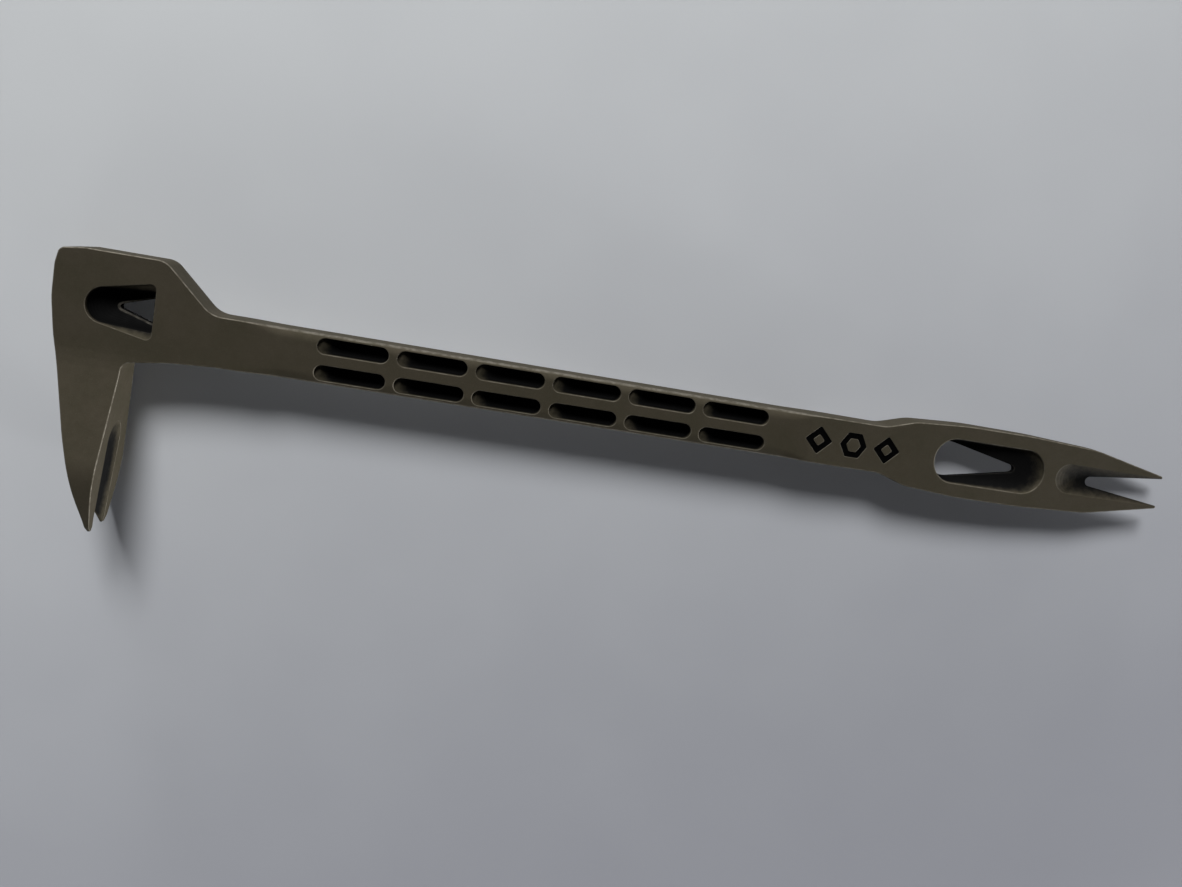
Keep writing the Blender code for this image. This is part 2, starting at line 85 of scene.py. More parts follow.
# Head and claw, seen from the front: distance below the centre line, half width, radius.
FRONT_CORNERS = (
    (-HEAD_TOP, PLATE_HALF, 0.0),
    (9.2, PLATE_HALF, 40.0),
    (39.9, 13.15, 19.0),
    (52.2, 7.7, 2.0),
    (CLAW_DROP, 5.9, 0.0),
)
FLARE_FADE = (18.4, 30.0)

# V notch of the claw and the scoop that leads into it. The scoops and the slot are circles
# (centre, radius) in plan, and a web is what is left of the thickness at the bottom.
CLAW_NOTCH = 49.3
CLAW_MOUTH = 4.6
CLAW_SCOOP = (30.2, 5.2)
CLAW_SCOOP_BREAK = 0.12
CLAW_WEB = 0.8

# Window through the head, from its rim down: X of the centre and radius of the round end, then
# half height and corner radius at the flat wall.
WINDOW_WALL = 24.8
WINDOW_Y = 4.75
WINDOW_RIM = (12.7, 4.6, 7.25, 1.4)
WINDOW_SHOULDER = (12.9, 4.55, 5.3, 0.9)
WINDOW_LAND = (15.9, 1.25, 4.1, 0.6)
WINDOW_HOLE = (16.2, 0.7, 3.55, 0.3)
SHOULDER_DEPTH = 1.3
WINDOW_WEB = 1.2
WINDOW_BREAK = 0.22

# Pockets.
POCKET_COUNT = 6
POCKET_PITCH = 20.42
POCKET_FIRST = 74.6
POCKET_RADIUS = 2.0
POCKET_REACH = 7.1
POCKET_ROW = 3.45
POCKET_FLOOR = 2.0
POCKET_BREAK = 0.28
POCKET_FILLET = 0.9
POCKET_RAMP = 2.6  # how much shallower a pocket is at the end where the cutter went in

# Tail, seen from the face.
SIDE_CORNERS = (
    (NECK_START, SHAFT_HALF, 0.0),
    (219.3, SHAFT_HALF, 10.0),
    (227.5, 9.05, 12.0),
    (243.0, BLADE_HALF, 60.0),
    (262.0, BLADE_HALF, 90.0),
    (283.0, 9.15, 30.0),
    (304.7, 4.75, 0.4),
    (LENGTH, 4.4, 0.0),
)
SLOT_RIM = ((241.05, 6.15), (261.95, 6.15))
SLOT_HOLE = ((239.9, 4.95), (258.9, 1.1))
SLOT_WEB = 0.8
SLOT_BREAK = 0.4
FORK_APEX = (283.4, 1.4)
FORK_MOUTH = 4.0
FORK_SCOOP = (276.3, 4.15)
FORK_WEB = 0.5
FORK_BREAK = (0.08, 0.28)  # width of the scoop's rounded rim, at the tips and at its root

# Marks on the panel.
MARKS = (("diamond_a", 200.7, 4), ("hexagon", 210.7, 6), ("diamond_b", 220.4, 4))
MARK_RADIUS = 3.9
MARK_STROKE = 1.6
MARK_CORNER = 0.45
MARK_DEPTH = 0.8
MARK_BREAK = 0.1
ENAMEL_DROP = 0.14
ENAMEL_FLOOR = 0.7
ENAMEL_SAG = 0.09
ENAMEL_ENDS = (0.01, 0.99)  # where the enamel starts and ends between the walls, as shares

ARC_STEP = math.radians(4)
EDGE_RINGS = 6
CONIC = math.sqrt(0.5)  # weight that turns a quadratic curve into a round one
SLOPE_STEP = 0.02  # for slopes of surfaces, by differences
WINDOW_PASSES = 16  # rings in each milled hollow
CLAW_PASSES = 16
SLOT_PASSES = 24
FORK_PASSES = 20
CLAW_SHADE = 1.6  # how strongly a hollow of the head claw is painted with shade by its depth
POCKET_SHADE = 0.7
POCKET_SHALLOW_LESS_SHADE = 0.33  # how much less painted shade the shallow end of a pocket gets
FORK_SHADE = 0.6
FORK_RIM_PAINTED_SHADE = 0.5  # painted shade that the scoop of the tail claw gets from its rim on
STRIP_ENDS = ((0, 0), (0, 0))
CLAW_TURN = np.array([(0, 0, 1), (-1, 0, 0), (0, -1, 0)])  # from the front view to the tool frame

# Camera, in the tool frame: place in millimetres, axes, focal length and width in pixels.
CAMERA_PLACE = (99.07, 36.27, 305.17)
CAMERA_RIGHT = (0.979249, 0.173502, 0.104741)
CAMERA_UP = (-0.153821, 0.972785, -0.173291)
CAMERA_BACK = (-0.131957, 0.153583, 0.979285)
CAMERA_FOCAL = 1150.0
IMAGE_WIDTH = 1182.0

# Finishes, in linear colour. The floor's colour is painted light: it goes from painted shade to
# painted light along Y, leaning by FLOOR_LEAN in X, over FLOOR_BAND millimetres, and turns flat
# at a distance of FLOOR_FADE millimetres from the tool.
TITANIUM_DARK = (0.047, 0.041, 0.027)
TITANIUM_LIGHT = (0.054, 0.046, 0.032)
TITANIUM_GRAIN = (0.084, 0.075, 0.054)
# The rubbed colour lightens rounded edges: partly rubbed wear, partly painted highlight.
TITANIUM_RUBBED_AND_HIGHLIGHT = (0.2, 0.185, 0.155)
# The film colour is painted shade: it darkens milled hollows by their depth.
TITANIUM_PAINTED_SHADE = (0.003, 0.003, 0.003)
FLOOR_PAINTED_SHADE = (0.308, 0.316, 0.35)
FLOOR_PAINTED_LIGHT = (0.76, 0.785, 0.79)
FLOOR_FLAT = (0.555, 0.565, 0.59)
FLOOR_BAND = (-205.0, 365.0)
FLOOR_FADE = (190.0, 480.0)
FLOOR_LEAN = -0.42
FLOOR_REACH = 40.0  # metres

# Studio.
SKY_LOW = (0.45, 0.455, 0.475)
SKY_HIGH = (0.02, 0.02, 0.021)
SKY_BAND = (0.12, 0.6)
LIGHTS = (  # name, direction to the light, angle it fills in degrees, irradiance
    ("key", (-0.3, 1.62, 1.27), 20.0, 3.5),
    ("side", (1.0, -0.3, 0.01), 6.0, 7.5),
    ("back", (-0.2, 1.0, 0.05), 12.0, 2.4),
    ("front", (-0.25, -1.0, 0.04), 20.0, 0.6),
)


# ---------------------------------------------------------------- outlines


def arc(centre, radius, start, end, count):
    """Points on a circle from one angle to another."""
    angles = np.linspace(start, end, count)
    x = centre[0] + radius * np.cos(angles)
    y = centre[1] + radius * np.sin(angles)
    return np.stack([x, y], axis=1)


def rounded_path(corners):
    """An open path through corners (x, y, radius), each inner one turned into an arc."""
    points = [np.array(corners[0][:2], float)]
    for before, here, after in zip(corners, corners[1:], corners[2:]):
        corner = np.array(here[:2], float)
        back = np.array(before[:2], float) - corner
        ahead = np.array(after[:2], float) - corner
        back_length, ahead_length = np.linalg.norm(back), np.linalg.norm(ahead)
        back, ahead = back / back_length, ahead / ahead_length
        half = math.acos(back @ ahead) / 2
        reach = min(here[2] / math.tan(half), 0.49 * back_length, 0.49 * ahead_length)
        radius = reach * math.tan(half)
        middle = (back + ahead) / np.linalg.norm(back + ahead)
        centre = corner + middle * radius / math.sin(half)
        first, last = corner + back * reach - centre, corner + ahead * reach - centre
        start = math.atan2(first[1], first[0])
        turn = math.atan2(first[0] * last[1] - first[1] * last[0], first @ last)
        count = max(3, int(abs(turn) / ARC_STEP) + 2)
        points.extend(arc(centre, radius, start, start + turn, count))
    points.append(np.array(corners[-1][:2], float))
    return np.array(points)


def resample(path, count):
    """The same path with its points spread evenly along it."""
    along = np.concatenate([[0], np.cumsum(np.linalg.norm(np.diff(path, axis=0), axis=1))])
    at = np.linspace(0, along[-1], count)
    return np.stack([np.interp(at, along, path[:, k]) for k in range(2)], axis=1)


def with_steps(path, step):
    """The same path with points added so that no stretch is longer than step."""
    points = [path[:1]]
    for a, b in zip(path, path[1:]):
        count = max(1, math.ceil(np.linalg.norm(b - a) / step))
        points.append(resample(np.array([a, b]), count + 1)[1:])
    return np.vstack(points)


def between(path, start, end):
    """The stretch of a path that runs along X from start to end."""
    xs = np.unique([start, *path[(path[:, 0] > start) & (path[:, 0] < end), 0], end])
    return np.stack([xs, np.interp(xs, path[:, 0], path[:, 1])], axis=1)


def outward(path, closed=False, end_axes=None):
    """Unit normals on the right of a path. At a cut end they lie along the cut."""
    if closed:
        tangent = np.roll(path, -1, 0) - np.roll(path, 1, 0)
    else:
        ahead = np.diff(path, axis=0)
        ahead /= np.linalg.norm(ahead, axis=1, keepdims=True)
        tangent = np.vstack([ahead[:1], ahead[:-1] + ahead[1:], ahead[-1:]])
    normal = np.stack([tangent[:, 1], -tangent[:, 0]], axis=1)
    for index, axis in zip((0, -1), end_axes or ()):
        normal[index, axis] = 0
    return normal / np.linalg.norm(normal, axis=1, keepdims=True)


def slot_outline(left, right, steps=25, runs=16):
    """A closed clockwise outline round two circles (x, radius) on the X axis."""
    (x0, r0), (x1, r1) = left, right
    turn = math.pi / 2 - math.asin((r0 - r1) / (x1 - x0))
    first = arc((x1, 0), r1, -turn, turn, steps)
    second = arc((x0, 0), r0, turn, 2 * math.pi - turn, steps)
    upper = resample(np.array([first[-1], second[0]]), runs + 1)[1:-1]
    lower = resample(np.array([second[-1], first[0]]), runs + 1)[1:-1]
    return np.vstack([first, upper, second, lower])[::-1]


def keystone_outline(x, radius, wall_half, corner, steps=33, runs=16):
    """The window's outline, clockwise: round on the left, flaring to a flat wall."""
    far = math.hypot(WINDOW_WALL - x, wall_half)
    start = math.atan2(wall_half, WINDOW_WALL - x) + math.acos(radius / far)
    left = arc((x, 0), radius, start, 2 * math.pi - start, steps)
    ends = [(*left[-1], 0), (WINDOW_WALL, -wall_half, corner), (WINDOW_WALL, 0, 0)]
    bottom = resample(rounded_path(ends)[1:-1], 9)
    low = resample(np.array([left[-1], bottom[0]]), runs + 1)[1:-1]
    side = resample(np.array([bottom[-1], bottom[-1] * (1, -1)]), 9)[1:-1]
    top = bottom[::-1] * (1, -1)
    high = resample(np.array([top[-1], left[0]]), runs + 1)[1:-1]
    return np.vstack([left, low, bottom, side, top, high])[::-1] + (0, WINDOW_Y)


def mark_outline(x, sides, radius):
    """A regular outline with rounded corners, clockwise. The corners' arcs have as many points
    whatever the radius, so that outlines of different radii can be joined."""
    angles = -2 * math.pi * np.arange(sides + 2) / sides
    corners = [(x + radius * math.cos(a), radius * math.sin(a), MARK_CORNER) for a in angles]
    middle = tuple((np.array(corners[0][:2]) + corners[1][:2]) / 2)
    return rounded_path([(*middle, 0), *corners[1:-1], (*middle, 0)])[1:-1]


# ---------------------------------------------------------------- surfaces


STRIKE_EDGE = rounded_path(STRIKE_CORNERS)
FRONT_EDGE = rounded_path(FRONT_CORNERS)
SIDE_EDGE = rounded_path(SIDE_CORNERS)


def strike_x(below):
    """X of the strike side at a distance below the centre line."""
    return np.interp(below, -STRIKE_EDGE[:, 1], STRIKE_EDGE[:, 0])


def inner_x(below):
    """X of the claw's inner face."""
    return INNER_X - INNER_SLOPE * (np.asarray(below, float) - 15)


def inner_height(xy):
    """The claw's inner face, as a height over its front view."""
    return inner_x(xy[:, 0])


def strike_height(xy):
    """The claw's strike side, as a depth under its front view."""
    return -strike_x(xy[:, 0])


def front_half(below):
    """Half width of the head and the claw, seen from the front."""
    return np.interp(below, FRONT_EDGE[:, 0], FRONT_EDGE[:, 1])


def ease(value, low, high):
    """0 below low, 1 above high, smooth between."""
    t = np.clip((np.asarray(value, float) - low) / (high - low), 0, 1)
    return t * t * (3 - 2 * t)


def softness(x):
    """0 on the head and the tail, 1 on the shaft."""
    return ease(x, *SOFT_FROM) * (1 - ease(x, *SOFT_TO))


def face_z(xy):
    """Half thickness of the plate at points of the head, the shaft and the tail."""
    x, y = xy[:, 0], xy[:, 1]
    base = np.interp(x, [p[0] for p in TAPER], [p[1] for p in TAPER])
    flare = (front_half(-y) - PLATE_HALF) * (1 - ease(x, *FLARE_FADE))
    start = SHAFT_HALF + (CROWN_START - SHAFT_HALF) * softness(x)
    fall = np.clip(np.abs(y) - start, 0, SHAFT_HALF - CROWN_START)
    crown = CROWN_RADIUS - np.sqrt(CROWN_RADIUS**2 - fall**2)
    return base + flare - np.where(softness(x) > 0, crown, 0)


def surface_normals(surface, xy):
    """Upward unit normals of a height function, by differences."""
    d = SLOPE_STEP
    dx = (surface(xy + (d, 0)) - surface(xy - (d, 0))) / (2 * d)
    dy = (surface(xy + (0, d)) - surface(xy - (0, d))) / (2 * d)
    normal = np.stack([-dx, -dy, np.ones(len(xy))], axis=1)
    return normal / np.linalg.norm(normal, axis=1, keepdims=True)


# ---------------------------------------------------------------- rings


def lifted(xy, z):
    """Points (x, y) at heights z."""
    return np.column_stack([xy, np.broadcast_to(z, len(xy))])


def edge_rings(path, normal, surface, width, depth):
    """Rings that round an edge: from the face, tangent to it, to the side wall."""
    width, depth = np.broadcast_to(width, len(path)), np.broadcast_to(depth, len(path))
    rim = path - normal * width[:, None]
    face = surface(rim)
    slope = (face - surface(rim + normal * SLOPE_STEP)) / SLOPE_STEP
    rings = []
    for t in np.linspace(0, 1, EDGE_RINGS + 1):
        a, b, c = (1 - t) ** 2, 2 * CONIC * t * (1 - t), t**2
        inset = width * a / (a + b + c)
        drop = (b * slope * width + c * depth) / (a + b + c)
        rings.append(lifted(path - normal * inset[:, None], face - drop))
    return rings


# Edge values: how much a rounded edge is painted lighter, partly rubbed wear and partly painted
# highlight.
EDGE_WEAR_AND_HIGHLIGHT = [math.sin(math.pi * k / EDGE_RINGS) for k in range(EDGE_RINGS + 1)]
HOLE_WEAR_AND_HIGHLIGHT = [0.6 * worn_and_lit for worn_and_lit in EDGE_WEAR_AND_HIGHLIGHT]


def loft(outer, inner, count, hollow=0.55):
    """Rings between two, dished the way a ball-nosed cutter leaves them."""
    rings = []
    for k in range(1, count + 1):
        s = k / count
        across = (1 - hollow) * s + hollow * (1 - math.cos(math.pi / 2 * s))
        down = (1 - hollow) * s + hollow * math.sin(math.pi / 2 * s)
        ring = outer.copy()
        ring[:, :2] += (inner - outer)[:, :2] * across
        ring[:, 2] += (inner - outer)[:, 2] * down
        rings.append(ring)
    return rings


# ---------------------------------------------------------------- skins


def inside(points, polygon):
    """Which points are inside a closed polygon."""
    ax, ay = polygon[:, 0], polygon[:, 1]
    bx, by = np.roll(ax, -1), np.roll(ay, -1)
    rise = np.where(by == ay, 1.0, by - ay)
    found = []
    for some in np.array_split(points, max(1, len(points) // 2000)):
        x, y = some[:, 0:1], some[:, 1:2]
        crosses = (ay > y) != (by > y)
        found.append((crosses & (x < (bx - ax) * (y - ay) / rise + ax)).sum(1) % 2 == 1)
    return np.concatenate(found)


def within(points, outlines):
    """Which points are on the metal, between the outlines."""
    return sum(inside(points, outline).astype(int) for outline in outlines) % 2 == 1


def upward(surface, xy):
    """Normals of the upper face, a height function."""
    return surface_normals(surface, xy[:, :2])


def downward(surface, xy):
    """Normals of the lower face, which mirrors a height function."""
    return surface_normals(surface, xy[:, :2]) * (1, 1, -1)


def level(xy):
    """The height function of a flat floor."""
    return np.zeros(len(xy))


class Skin:
    """Collects the vertices and faces of one closed piece. Each vertex also has a normal, its
    edge value (1 on a rounded edge, painted lighter: rubbed wear and painted highlight), its
    ridge (1 on the ridges that a cutter leaves) and its depth in a hollow, in millimetres and
    scaled per feature, which the finish paints as shade."""

    def __init__(self, name):
        self.name = name
        self.points, self.normals, self.faces = [], [], []
        self.layers = {"wear_and_highlight": [], "ridge": [], "hollow": []}
        self.count = 0

    def add(self, points, normals, wear_and_highlight=0.0, ridge=0.0, hollow=0.0):
        first = self.count
        self.points.append(points)
        self.normals.append(normals)
        for layer, value in zip(self.layers.values(), (wear_and_highlight, ridge, hollow)):
            layer.append(np.broadcast_to(value, len(points)))
        self.count += len(points)
        return np.arange(first, self.count)

    def join(self, upper, lower):
        ahead, below = np.roll(upper, -1), np.roll(lower, -1)
        self.faces += np.stack([upper, lower, below, ahead], axis=1).tolist()

    def stack(self, rings, wear_and_highlight, ridge=None, hollow=None, runs=None, first=None, last=None):
        """Joins rings into a band. runs are the smooth stretches of the loop; first and last
        are the normals of the end rings, where these meet a cap."""
        grid = np.array(rings)
        down = np.gradient(grid, axis=0)
        if runs is None:
            along = np.roll(grid, -1, 1) - np.roll(grid, 1, 1)
        else:
            along = np.zeros_like(grid)
            for start, stop in runs:
                along[:, start:stop] = np.gradient(grid[:, start:stop], axis=1)
        normal = np.cross(down, along)
        length = np.linalg.norm(normal, axis=2, keepdims=True)
        normal = np.where(length > 1e-12, normal / np.maximum(length, 1e-12), (0, 0, 1))
        for index, given in ((0, first), (-1, last)):
            if given is not None:
                normal[index] = given
        none = [0.0] * len(grid)
        ridge = none if ridge is None else ridge
        hollow = none if hollow is None else hollow
        made = [self.add(*row) for row in zip(grid, normal, wear_and_highlight, ridge, hollow)]
        for upper, lower in zip(made, made[1:]):
            self.join(upper, lower)
        return made

    def fill(self, loops, surface=level, seeds=(), up=True):
        """Closes the region between loops of vertices, with seeds where it bends."""
        flats = [ring[:, :2] for ring, _ in loops]
        points = np.vstack(flats)
        ids = np.concatenate([index for _, index in loops])
        edges, first = [], 0
        for xy in flats:
            edges += [(first + i, first + (i + 1) % len(xy)) for i in range(len(xy))]
            first += len(xy)
        if len(seeds):
            apart = np.full(len(seeds), np.inf)
            for xy in flats:
                rim = with_steps(np.vstack([xy, xy[:1]]), 0.5)
                apart = np.minimum(apart, np.linalg.norm(seeds[:, None] - rim, axis=2).min(1))
            extra = seeds[(apart > 0.3) & within(seeds, flats)]
            side = 1 if up else -1
            normal = surface_normals(surface, extra) * (1, 1, side)
            ids = np.concatenate([ids, self.add(lifted(extra, side * surface(extra)), normal)])
            points = np.vstack([points, extra])
        made = delaunay_2d_cdt([Vector(p) for p in points], edges, [], 0, 1e-7)
        source = np.array([o[0] for o in made[3]])
        triangles = source[np.array(made[2])]
        corners = ids[triangles[within(points[triangles].mean(1), flats)]]
        self.faces += (corners if up else corners[:, ::-1]).tolist()

    def build(self, material, turn=None):
        """Makes the object, in the row frame."""
        points, normals = np.vstack(self.points), np.vstack(self.normals)
        if turn is not None:
            points, normals = points @ turn.T, normals @ turn.T
        mesh = bpy.data.meshes.new(self.name)
        mesh.from_pydata((points * MM).tolist(), [], self.faces)
        mesh.polygons.foreach_set("use_smooth", [True] * len(mesh.polygons))
        for name, values in self.layers.items():
            layer = mesh.attributes.new(name, "FLOAT", "POINT")
            layer.data.foreach_set("value", np.concatenate(values).astype(np.float32))
        mesh.transform(TOOL_TO_ROW)
        turned = normals @ np.array(TOOL_TO_ROW.to_3x3()).T
        mesh.normals_split_custom_set_from_vertices(turned.tolist())
        mesh.materials.append(material)
        piece = bpy.data.objects.new(self.name, mesh)
        bpy.context.scene.collection.objects.link(piece)
        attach(piece, "root")
        return piece


def turned_over(rings):
    """The same rings on the lower face, in the order that a stack goes down."""
    return [ring * (1, 1, -1) for ring in rings[::-1]]


def plate_rings(path, normal):
    """Upper rings round a plate, softened where the shaft is."""
    soft = softness(path[:, 0])
    width = EDGE_BREAK + (SOFT_WIDTH - EDGE_BREAK) * soft
    depth = EDGE_BREAK + (SOFT_DEPTH - EDGE_BREAK) * soft
    return edge_rings(path, normal, face_z, width, depth)


def cut_points(start, end):
    """Points along a cut plane across the crowned shaft; none where the face is flat."""
    if abs(start[1]) != SHAFT_HALF or softness(start[:1])[0] < 0.5:
        return np.empty((0, 2))
    inner = (SHAFT_HALF - SOFT_WIDTH) * 0.9
    y = np.linspace(-inner, inner, 15) * (1 if end[1] > start[1] else -1)
    return np.column_stack([np.full(15, start[0]), y])


def sunk(rings):
    """How deep each point of each ring is below the rim, in a plate."""
    height = np.abs(np.array(rings)[:, :, 2])
    return height.max(0) - height


def outer_stack(skin, paths, end_axes):
    """The rim of a plate made of open paths, with cuts between them."""
    parts, runs, first = [], [], 0
    for k, (path, axes) in enumerate(zip(paths, end_axes)):
        parts.append(plate_rings(path, outward(path, end_axes=axes)))
        runs.append((first, first + len(path)))
        cut = cut_points(path[-1], paths[(k + 1) % len(paths)][0])
        drop = np.linspace(0, 1, EDGE_RINGS + 1) ** 2 * EDGE_BREAK
        parts.append([lifted(cut, face_z(cut) - d) for d in drop])
        first += len(path) + len(cut)
    rings = [np.vstack([part[k] for part in parts]) for k in range(EDGE_RINGS + 1)]
    return through_stack(skin, rings, EDGE_WEAR_AND_HIGHLIGHT, runs=runs)


def through_stack(skin, rings, wear_and_highlight, **layers):
    """A band that is the same from both faces. Returns its upper and lower rims."""
    rim = rings[0]
    for name in {"ridge", "hollow"} & set(layers):
        layers[name] = np.concatenate([layers[name], layers[name][::-1]])
    ends = {"first": upward(face_z, rim), "last": downward(face_z, rim)}
    made = skin.stack(rings + turned_over(rings), wear_and_highlight + wear_and_highlight[::-1], **layers, **ends)
    return (rim, made[0]), (rim, made[-1])


def close(skin, rims, seeds=()):
    """Caps both faces of a plate inside its rims (upper, lower)."""
    skin.fill([upper for upper, _ in rims if upper], face_z, seeds)
    skin.fill([lower for _, lower in rims if lower], face_z, seeds, up=False)


def grid_of(x0, x1, y0, y1, step):
    xs, ys = np.arange(x0, x1, step), np.arange(y0, y1, step)
    return np.array([(x, y) for x in xs for y in ys])


def hole_break(outline, width):
    """Rings that round the rim of a hole, down to its wall."""
    return edge_rings(outline, outward(outline, closed=True), face_z, width, width)


def ridges(before, count, after):
    """Which rings are ridges: every other one of the milled ones."""
    return np.concatenate([np.zeros(before), np.arange(count) % 2, np.zeros(after)])


# ---------------------------------------------------------------- the seven zones


def make_head():
    skin = Skin("nail_puller_head")
    cut, neck = CLAW_START, NECK_START
    down = STRIKE_EDGE[STRIKE_EDGE[:, 1] > -cut]
    over = rounded_path([(neck, SHAFT_HALF, 0), *SHOULDER_CORNERS, (*down[0], 0)])
    over = with_steps(np.vstack([over, down[1:], [(strike_x(cut), -cut)]]), 1.5)
    under = rounded_path([(inner_x(cut), -cut, 0), *ROOT_CORNERS, (neck, -SHAFT_HALF, 0)])
    under = with_steps(under, 1.0)
    outer = outer_stack(skin, (under, over), ((1, 0), (0, 1)))
    shapes = (WINDOW_RIM, WINDOW_SHOULDER, WINDOW_LAND, WINDOW_HOLE)
    rim, shoulder, land, hole = (keystone_outline(*sizes) for sizes in shapes)
    lip = PLATE_HALF - SHOULDER_DEPTH
    rings = hole_break(rim, WINDOW_BREAK)
    rings += loft(rings[-1], lifted(shoulder, lip + 0.15), 4, 0.0)
    rings += [lifted(shoulder, lip), lifted(shoulder, lip - 0.15)]
    rings += loft(rings[-1], lifted(land, WINDOW_WEB + 0.1), WINDOW_PASSES)
    edges = (0.06, 0.2, 0.8, 0.94)
    rings += [lifted(land + (hole - land) * t, WINDOW_WEB) for t in edges]
    rings += [lifted(hole, WINDOW_WEB - 0.1)]
    # the window's land edges are painted lighter: rubbed wear and painted highlight
    wear_and_highlight = HOLE_WEAR_AND_HIGHLIGHT + [0.0] * (6 + WINDOW_PASSES) + [0.5, 1.0, 1.0, 0.6, 0.0]
    ridge = ridges(len(EDGE_WEAR_AND_HIGHLIGHT) + 6, WINDOW_PASSES, 5)
    # hollow: painted shade on the window's hollow, by its depth
    window = through_stack(skin, rings, wear_and_highlight, ridge=ridge, hollow=sunk(rings))
    close(skin, (outer, window), grid_of(0.5, 31.0, -12.5, -3.0, 1.0))
    return skin.build(titanium)


def make_claw():
    """The head claw, drawn from the front: X is the distance below the centre line, Y goes
    across, and Z is the tool's X."""
    skin = Skin("nail_puller_head_claw")
    side = with_steps(between(FRONT_EDGE, CLAW_START, CLAW_DROP), 1.2)
    vee = rounded_path([(CLAW_DROP, CLAW_MOUTH, 0), (CLAW_NOTCH, 0.5, 0.6), (CLAW_NOTCH, 0, 0)])
    vee = resample(vee, 25)
    notch = np.vstack([vee * (1, -1), vee[-2::-1]])
    path = np.vstack([side * (1, -1), notch, side[::-1]])
    normal = outward(path, end_axes=(0, 0))
    width = EDGE_BREAK - 0.15 * ease(path[:, 0], CLAW_DROP - 12, CLAW_DROP)
    upper = edge_rings(path, normal, inner_height, width, width)
    lower = edge_rings(path, normal, strike_height, width, width)
    walls = loft(upper[-1], lower[-1] * (1, 1, -1), CLAW_PASSES, 0.0)[:-1]
    centre, radius = CLAW_SCOOP
    bend = arc((centre, 0), radius, math.pi / 2, math.pi, 30)
    mouth = (CLAW_DROP - width[len(side)], CLAW_MOUTH + EDGE_BREAK)
    rim = resample(np.vstack([[mouth], bend]), len(vee))
    rim = np.vstack([rim * (1, -1), rim[-2::-1]])
    web = np.minimum(strike_x(notch[:, 0]) + CLAW_WEB, inner_x(notch[:, 0]) - 0.2)
    rim_rings = edge_rings(rim, outward(rim), inner_height, CLAW_SCOOP_BREAK, CLAW_SCOOP_BREAK)
    scoop = rim_rings + loft(rim_rings[-1], lifted(notch, web), CLAW_PASSES - 1)
    first = len(side)
    rings = [ring.copy() for ring in upper + walls]
    for ring, part in zip(rings, scoop):
        ring[first : first + len(notch)] = part
    rings += turned_over(lower)
    runs = ((0, first), (first, first + len(notch)), (first + len(notch), len(path)))
    wear_and_highlight = EDGE_WEAR_AND_HIGHLIGHT + [0.0] * (CLAW_PASSES - 1) + EDGE_WEAR_AND_HIGHLIGHT[::-1]
    on_notch = np.zeros(len(path))
    on_notch[first : first + len(notch)] = 1
    ridge = ridges(len(EDGE_WEAR_AND_HIGHLIGHT), CLAW_PASSES - 1, len(EDGE_WEAR_AND_HIGHLIGHT))
    # hollow: painted shade in the scoop, by its depth
    hollow = [inner_height(ring) - ring[:, 2] for ring in rings[: -len(EDGE_WEAR_AND_HIGHLIGHT)]]
    hollow += [np.zeros(len(path))] * len(EDGE_WEAR_AND_HIGHLIGHT)
    made = skin.stack(
        rings,
        wear_and_highlight,
        ridge=ridge[:, None] * on_notch,
        hollow=np.array(hollow) * on_notch * CLAW_SHADE,
        runs=runs,
        first=upward(inner_height, rings[0]),
        last=downward(strike_height, rings[-1]),
    )
    skin.fill([(rings[0], made[0])], inner_height)
    seeds = grid_of(CLAW_START + 1.5, CLAW_DROP, -12.0, 12.5, 1.5)
    skin.fill([(rings[-1], made[-1])], strike_height, seeds, up=False)
    return skin.build(titanium, CLAW_TURN)


def strip_paths(start, end, step):
    """The two long edges of the bar between two cuts, anticlockwise."""
    lower = with_steps(between(SIDE_EDGE, start, end), step) * (1, -1)
    return lower, lower[::-1] * (1, -1)


def make_neck():
    skin = Skin("nail_puller_neck")
    paths = strip_paths(NECK_START, SHAFT_START, 0.8)
    outer = outer_stack(skin, paths, STRIP_ENDS)
    close(skin, (outer,), grid_of(45.5, 61.9, -5.6, 5.7, 0.7))
    return skin.build(titanium)


def pocket(skin, x, y):
    """One pocket in each face. Returns the rims to cut out of the caps."""
    ends = [(x + side * POCKET_REACH, POCKET_RADIUS) for side in (-1, 1)]
    wall = slot_outline(*ends, steps=15, runs=8) + (0, y)
    rings = hole_break(wall, POCKET_BREAK)
    inward = outward(wall, closed=True)
    ramp = POCKET_RAMP * (1 - ease(wall[:, 0], x - POCKET_REACH - POCKET_RADIUS, x - 2.5))
    for a in np.linspace(0, math.pi / 2, 7):
        inset = POCKET_FILLET * (1 - math.cos(a))
        height = POCKET_FLOOR + ramp + POCKET_FILLET * (1 - math.sin(a))
        rings.append(lifted(wall + inward * inset, height))
    wear_and_highlight = HOLE_WEAR_AND_HIGHLIGHT + [0.0] * 7
    rim, floor = rings[0], rings[-1]
    # painted shade in the pocket by its depth, less at its shallow end
    depth = sunk(rings) * (POCKET_SHADE - POCKET_SHALLOW_LESS_SHADE * ramp / POCKET_RAMP)
    made = skin.stack(rings, wear_and_highlight, hollow=depth, first=upward(face_z, rim))
    skin.fill([(floor, made[-1])])
    under = turned_over(rings)
    last = downward(face_z, rim)
    below = skin.stack(under, wear_and_highlight[::-1], hollow=depth[::-1], last=last)
    skin.fill([(floor, below[0])], up=False)
    return (rim, made[0]), (rim, below[-1])


def make_shaft():
    skin = Skin("nail_puller_shaft")
    rims = [outer_stack(skin, strip_paths(SHAFT_START, PANEL_START, 2.0), STRIP_ENDS)]
    for k in range(POCKET_COUNT):
        x = POCKET_FIRST + k * POCKET_PITCH
        rims += [pocket(skin, x, side * POCKET_ROW) for side in (-1, 1)]
    close(skin, rims, grid_of(SHAFT_START + 0.5, PANEL_START, -5.4, 5.5, 0.9))
    return skin.build(titanium)


